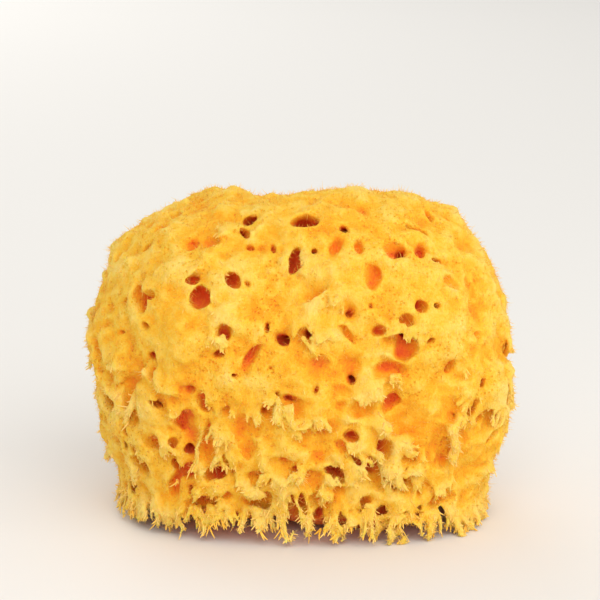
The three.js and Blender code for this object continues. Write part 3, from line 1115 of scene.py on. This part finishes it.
BODY_FINISH = {
    "Roughness": 0.85,
    "Specular IOR Level": 0.2,
    "Subsurface Weight": 0.7,
    "Subsurface Radius": (1.0, 0.7, 0.4),
    "Subsurface Scale": 0.0012,
}
LOOSE_FINISH = {
    "Roughness": 0.7,
    "Specular IOR Level": 0.2,
    "Sheen Weight": 0.3,
    "Sheen Tint": (1.0, 0.85, 0.5, 1.0),
}


def feed(tree, node, values):
    """Sets sockets of a node to plain values, or links them to the outputs of other nodes."""
    for label, value in values.items():
        if isinstance(value, bpy.types.NodeSocket):
            tree.links.new(value, node.inputs[label])
        else:
            node.inputs[label].default_value = value


def node_of(tree, kind, values):
    """A new node of a kind, fed with values."""
    node = tree.nodes.new(kind)
    feed(tree, node, values)
    return node


def group_of(name, inputs, outputs):
    """An empty node group with vector and number inputs and named outputs, and its two end nodes."""
    group = bpy.data.node_groups.new(name, "ShaderNodeTree")
    for label, value in inputs.items():
        kind = "NodeSocketVector" if value is None else "NodeSocketFloat"
        socket = group.interface.new_socket(label, in_out="INPUT", socket_type=kind)
        if value is not None:
            socket.default_value = value
    for label, kind in outputs.items():
        group.interface.new_socket(label, in_out="OUTPUT", socket_type=kind)
    return group, group.nodes.new("NodeGroupInput"), group.nodes.new("NodeGroupOutput")


def math_node(tree, operation, *values):
    """The result of a Math node, fed with values in order."""
    node = tree.nodes.new("ShaderNodeMath")
    node.operation = operation
    feed(tree, node, dict(enumerate(values)))
    return node.outputs[0]


def noise_node(tree, vector, scale, detail=2.0, roughness=0.5, distortion=0.0):
    """A noise texture's value, 0 to 1."""
    values = {"Scale": scale, "Detail": detail, "Roughness": roughness, "Distortion": distortion}
    return node_of(tree, "ShaderNodeTexNoise", {"Vector": vector, **values}).outputs["Fac"]


def stretched(tree, vector, scale, turn):
    """Coordinates turned and scaled by different amounts, for a pattern with a grain."""
    values = {"Vector": vector, "Scale": scale, "Rotation": turn}
    return node_of(tree, "ShaderNodeMapping", values).outputs["Vector"]


def dye_and_shade_group():
    """The fibre's colour for how hollow a place is, with painted shade that turns it orange, red and brown
    in the hollows, uneven in patches, in mottles and in fine specks.
    """
    inputs = {"Place": None, "Hollow": 0.5, "Unevenness": 1.0}
    group, start, end = group_of("dye_and_shade", inputs, {"Colour": "NodeSocketColor"})
    total = 0.0
    for *sizes, weight in DYE_NOISES:
        noise = noise_node(group, start.outputs["Place"], *sizes)
        total = math_node(group, "MULTIPLY_ADD", math_node(group, "SUBTRACT", noise, 0.5), weight, total)
    total = math_node(group, "MULTIPLY_ADD", total, start.outputs["Unevenness"], start.outputs["Hollow"])
    ramp = group.nodes.new("ShaderNodeValToRGB")
    stops = ramp.color_ramp.elements
    stops[0].position, stops[0].color = FIBRE_AND_SHADE_COLOURS[0]
    stops[1].position, stops[1].color = FIBRE_AND_SHADE_COLOURS[-1]
    for position, colour in FIBRE_AND_SHADE_COLOURS[1:-1]:
        stops.new(position).color = colour
    group.links.new(total, ramp.inputs["Fac"])
    group.links.new(ramp.outputs["Color"], end.inputs["Colour"])
    return group


def pinhole_group():
    """Pinholes: small round dots of a cell pattern, kept only where a broad noise is high."""
    inputs = {"Place": None, "Density": 0.5}
    group, start, end = group_of("pinholes", inputs, {"Mask": "NodeSocketFloat"})
    place, density = start.outputs["Place"], start.outputs["Density"]
    cells = node_of(group, "ShaderNodeTexVoronoi", {"Vector": place, **PINHOLE_CELLS})
    dots = node_of(group, "ShaderNodeMapRange", {
        "Value": cells.outputs["Distance"],
        "From Min": PINHOLE_RIM,
        "From Max": PINHOLE_CORE,
    })
    patches = node_of(group, "ShaderNodeMapRange", {
        "Value": noise_node(group, place, PINHOLE_PATCHES),
        "From Min": math_node(group, "SUBTRACT", 1.0, density),
        "From Max": math_node(group, "SUBTRACT", 1.0 + PINHOLE_FADE, density),
    })
    mask = math_node(group, "MULTIPLY", dots.outputs["Result"], patches.outputs["Result"])
    group.links.new(mask, end.inputs["Mask"])
    return group


def felt_group():
    """Felted fibres: three sets of fine streaks that cross each other, over a soft fine noise."""
    group, start, end = group_of("felt", {"Place": None}, {"Height": "NodeSocketFloat"})
    place = start.outputs["Place"]
    total = noise_node(group, place, *FELT_NOISE)
    for turn in FELT_TURNS:
        streaks = noise_node(group, stretched(group, place, FELT_GRAIN, turn), scale=1.0, detail=1.0)
        streaks = math_node(group, "ABSOLUTE", math_node(group, "SUBTRACT", streaks, 0.5))
        total = math_node(group, "MULTIPLY_ADD", streaks, FELT_WEIGHT, total)
    group.links.new(total, end.inputs["Height"])
    return group


dye_and_shade, pinholes, felt = dye_and_shade_group(), pinhole_group(), felt_group()


def placed(tree, group, **values):
    """A node that stands for a group in a material, fed with values."""
    node = tree.nodes.new("ShaderNodeGroup")
    node.node_tree = group
    feed(tree, node, values)
    return node


def fibre_base(name):
    """A new material, its tree and shader, the place on the piece and the piece's own hollow value."""
    material = bpy.data.materials.new(name)
    material.use_nodes = True
    tree = material.node_tree
    place = tree.nodes.new("ShaderNodeTexCoord").outputs["Object"]
    hollow = tree.nodes.new("ShaderNodeAttribute")
    hollow.attribute_name = "hollow"
    return material, tree, tree.nodes["Principled BSDF"], place, hollow.outputs["Fac"]


def sponge_fibre():
    """The grown body's fibre: coloured by how hollow it is, which paints shade in the hollows, pinholed with
    darker painted shade and felted, with light passing through.
    """
    material, tree, shader, place, hollow = fibre_base("sponge_fibre")
    holes = placed(tree, pinholes, Place=place, Density=BODY_PINHOLES).outputs["Mask"]
    # Painted shade: the pinholes' colour is darker, as if more hollow, besides their dent in the bump.
    darker = math_node(tree, "MULTIPLY_ADD", holes, PINHOLE_SHADE, hollow)
    colour = placed(tree, dye_and_shade, Place=place, Hollow=darker, Unevenness=BODY_UNEVENNESS)
    height = placed(tree, felt, Place=place).outputs["Height"]
    height = math_node(tree, "MULTIPLY_ADD", holes, PINHOLE_HEIGHT, height)
    bump = node_of(tree, "ShaderNodeBump", {"Height": height, **FELT_BUMP})
    feed(tree, shader, {"Base Color": colour.outputs["Colour"], "Normal": bump.outputs["Normal"]})
    feed(tree, shader, BODY_FINISH)
    return material


def loose_fibre():
    """Single fibres: the same colour with its painted shade, thin enough to need no depth, with a soft
    sheen.
    """
    material, tree, shader, place, hollow = fibre_base("loose_fibre")
    colour = placed(tree, dye_and_shade, Place=place, Hollow=hollow, Unevenness=LOOSE_UNEVENNESS)
    feed(tree, shader, {"Base Color": colour.outputs["Colour"]})
    feed(tree, shader, LOOSE_FINISH)
    return material


sponge_body.data.materials.clear()
sponge_body.data.materials.append(sponge_fibre())
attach(sponge_body, "root")
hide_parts("sponge")


# ---- Finger tips ---------------------------------------------------------------------------------
# The pale points of the frayed fingers: two single fibres of the skeleton come out of the end of each one.
# Each is a closed tapered tube, rooted in its finger and bent a little.

FIBRE_FLOOR = 0.33
POINTS_EACH = 2
POINT_STRAY = 0.12
POINT_LEAST = 0.5
POINT_SHARES = (0.2, 0.45)
POINT_BEND = 0.22
POINT_TRAVEL = (0, 0.35, 0.7, 0.92, 1.0, 1.04)
POINT_RADII = (0.18, 0.3)
POINT_TAPER = (1.0, 0.92, 0.78, 0.52, 0.28)
POINT_SIDES = 5
POINT_SHADES = (0.34, 0.14)
POINT_HEM_SHADE = 0.1
POINT_HEM_HEIGHTS = (4.0, 13.0)

loose_material = loose_fibre()


def bent_paths(roots, directions, lengths, bend, travel):
    """Paths with a point at each share of travel: straight along each direction, and off it by a random bend
    times the square of the way along, kept above the floor."""
    bends = random.normal(0, bend, roots.shape)
    travel = np.array(travel)[None, :, None]
    along = directions[:, None] * travel + bends[:, None] * travel**2
    paths = roots[:, None] + lengths[:, None, None] * along
    paths[:, :, 2] = np.maximum(paths[:, :, 2], FIBRE_FLOOR)
    return paths


def tapered_tubes(name, paths, root_radii, taper, sides, hollows):
    """One piece of many closed tubes: a round section carried square to each path. Each has its own root
    radius out of a range, times the taper at each point but the last, which is its tip."""
    count, rings = len(paths), len(taper)
    radii = random.uniform(*root_radii, (count, 1)) * np.array([taper])
    forward = unit(np.gradient(paths, axis=1))[:, :-1]
    aside = unit(np.cross(forward, unit(random.normal(size=(count, 1, 3)))))
    above = np.cross(forward, aside)
    turn = 2 * math.pi * np.arange(sides) / sides
    circle = np.cos(turn)[:, None] * aside[:, :, None, :] + np.sin(turn)[:, None] * above[:, :, None, :]
    walls = paths[:, :-1, None, :] + radii[:, :, None, None] * circle
    points = np.concatenate([walls.reshape(count, -1, 3), paths[:, -1:]], axis=1)
    start = np.arange(count)[:, None, None] * points.shape[1]
    first = start + np.arange(rings)[None, :, None] * sides
    corner = np.arange(sides)
    after = (corner + 1) % sides
    low, high = first[:, :-1], first[:, 1:]
    quads = np.stack([low + corner, low + after, high + after, high + corner], -1).reshape(-1, 4)
    tip = np.broadcast_to(start + rings * sides, (count, 1, sides))
    cones = np.stack([first[:, -1:] + corner, first[:, -1:] + after, tip], -1).reshape(-1, 3)
    roots = (first[:, 0] + corner[::-1]).reshape(-1, sides)
    made = skin_object(name, points.reshape(-1, 3), quads, cones, roots)
    shades = np.concatenate([np.repeat(hollows[:, :-1], sides, axis=1), hollows[:, -1:]], axis=1)
    put_attribute(made, "hollow", shades.ravel())
    made.data.materials.append(loose_material)
    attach(made, "root")


# Only fingers whose end is still fibre, on the piece that was kept, have points.
ends = np.array(finger_ends)
ends = ends[(sampled(grid, VOXEL, ends[:, 0]) > 0) & (sampled(kept_skin, COARSE_STEP, ends[:, 0]) > 0)]
ends = np.repeat(ends, POINTS_EACH, axis=0)
directions = unit(unit(ends[:, 1]) + random.normal(0, POINT_STRAY, (len(ends), 3)))
lengths = POINT_LEAST + random.uniform(*POINT_SHARES, len(ends)) * np.linalg.norm(ends[:, 1], axis=1)
paths = bent_paths(ends[:, 0], directions, lengths, POINT_BEND, POINT_TRAVEL)
shades = np.linspace(*POINT_SHADES, len(POINT_TRAVEL))[None, :]
shades = shades + POINT_HEM_SHADE * (1 - smooth_step(*POINT_HEM_HEIGHTS, paths[:, :, 2]))
tapered_tubes("finger_tips", paths, POINT_RADII, POINT_TAPER, POINT_SIDES, shades)


# ---- Edge fibres ---------------------------------------------------------------------------------
# Ragged single fibres along the lobes' edges, the ridges and the rims of the openings, most of them low
# down. Each is a closed tapered tube, rooted in the skin, that runs out to where there is least fibre.

EDGE_FIBRES = 3200
EDGE_FILL = 0.40
EDGE_FADE = 0.18
EDGE_POWER = 1.5
EDGE_HEIGHTS = (34, 44)
EDGE_HIGH_LOSS = 0.92
EDGE_ANYWHERE = 0.01
EDGE_HOLLOWS = (0.5, 0.62)
EDGE_OUTWARDS = 0.2
EDGE_STRAY = 0.3
EDGE_DROOP = np.array([0, 0, -0.45])
EDGE_LENGTHS = (3.0, 0.17)
EDGE_LEAST = 0.4
EDGE_SUNK = 0.4
EDGE_BEND = 0.28
EDGE_TRAVEL = (0, 0.4, 0.75, 0.95, 1.0)
EDGE_RADII = (0.12, 0.22)
EDGE_TAPER = (1.0, 0.9, 0.75, 0.45)
EDGE_SIDES = 4
EDGE_MOST_HOLLOW = 0.6
EDGE_PALER = 0.05
EDGE_TIP_PALER = 0.22


def surface_samples(piece, count, weights):
    """Points spread over a piece's triangles by area times the mean weight of their corners, and the outward
    direction and how hollow it is at each."""
    mesh = piece.data
    mesh.calc_loop_triangles()
    corners = np.empty(len(mesh.loop_triangles) * 3, np.int32)
    mesh.loop_triangles.foreach_get("vertices", corners)
    corners = corners.reshape(-1, 3)
    a, b, c = (skin[corners[:, i]] for i in range(3))
    normal = np.cross(b - a, c - a)
    share = np.linalg.norm(normal, axis=1) * weights[corners].mean(1)
    chosen = random.choice(len(corners), count, p=share / share.sum())
    mix = np.sort(random.uniform(0, 1, (2, count, 1)), axis=0)
    points = a[chosen] * mix[0] + b[chosen] * (mix[1] - mix[0]) + c[chosen] * (1 - mix[1])
    return points, unit(normal[chosen]), hollow[corners[chosen]].mean(1)


weights = np.clip((EDGE_FILL - near_share) / EDGE_FADE, 0, 1) ** EDGE_POWER
weights = weights * (1 - EDGE_HIGH_LOSS * smooth_step(*EDGE_HEIGHTS, skin[:, 2])) + EDGE_ANYWHERE
weights *= 1 - smooth_step(*EDGE_HOLLOWS, hollow)
points, normals, shades = surface_samples(sponge_body, EDGE_FIBRES, weights)
emptier = np.stack([
    sampled(near_fill, COARSE_STEP, points - step) - sampled(near_fill, COARSE_STEP, points + step)
    for step in COARSE_STEP * np.eye(3)
], axis=1)
directions = (1 - EDGE_OUTWARDS) * unit(emptier) + EDGE_OUTWARDS * normals
directions = unit(directions + random.normal(0, EDGE_STRAY, points.shape) + EDGE_DROOP)
lengths = random.gamma(*EDGE_LENGTHS, len(points)) + EDGE_LEAST
paths = bent_paths(points - EDGE_SUNK * directions, directions, lengths, EDGE_BEND, EDGE_TRAVEL)
# The fibres carry the painted shade of the skin at their roots, less of it toward their tips.
shades = np.clip(shades, 0, EDGE_MOST_HOLLOW)[:, None] - EDGE_PALER
shades = shades - np.linspace(0, EDGE_TIP_PALER, len(EDGE_TRAVEL))[None, :]
tapered_tubes("edge_fibres", paths, EDGE_RADII, EDGE_TAPER, EDGE_SIDES, shades)


# ---- Felt nap ------------------------------------------------------------------------------------
# Short fine hairs that stand off the felted skin all over but in the deep hollows: closed tapered tubes
# again, in two pieces.

NAP_PIECES = 2
NAP_FIBRES = 19000
NAP_HOLLOWS = (0.6, 0.72)
NAP_WEIGHT_FROM = 1.15
NAP_WEIGHT_RANGE = (0.1, 1)
NAP_OUTWARDS = 0.55
NAP_STRAY = 0.5
NAP_DROOP = np.array([0, 0, -0.2])
NAP_LENGTHS = (0.5, 1.5)
NAP_SUNK = 0.15
NAP_BEND = 0.3
NAP_TRAVEL = (0, 0.6, 1.0)
NAP_RADII = (0.045, 0.075)
NAP_TAPER = (1.0, 0.7)
NAP_SIDES = 3
NAP_PALER = np.array([[0.0, 0.05, 0.1]])

weights = np.clip(NAP_WEIGHT_FROM - hollow, *NAP_WEIGHT_RANGE) * (1.0 - smooth_step(*NAP_HOLLOWS, hollow))
for index in range(NAP_PIECES):
    points, normals, shades = surface_samples(sponge_body, NAP_FIBRES, weights)
    directions = unit(normals * NAP_OUTWARDS + random.normal(0, NAP_STRAY, points.shape) + NAP_DROOP)
    lengths = random.uniform(*NAP_LENGTHS, len(points))
    paths = bent_paths(points - NAP_SUNK * normals, directions, lengths, NAP_BEND, NAP_TRAVEL)
    # The hairs carry the painted shade of the skin at their roots, less of it toward their tips.
    shades = shades[:, None] - NAP_PALER
    tapered_tubes(f"felt_nap_{index + 1}", paths, NAP_RADII, NAP_TAPER, NAP_SIDES, shades)
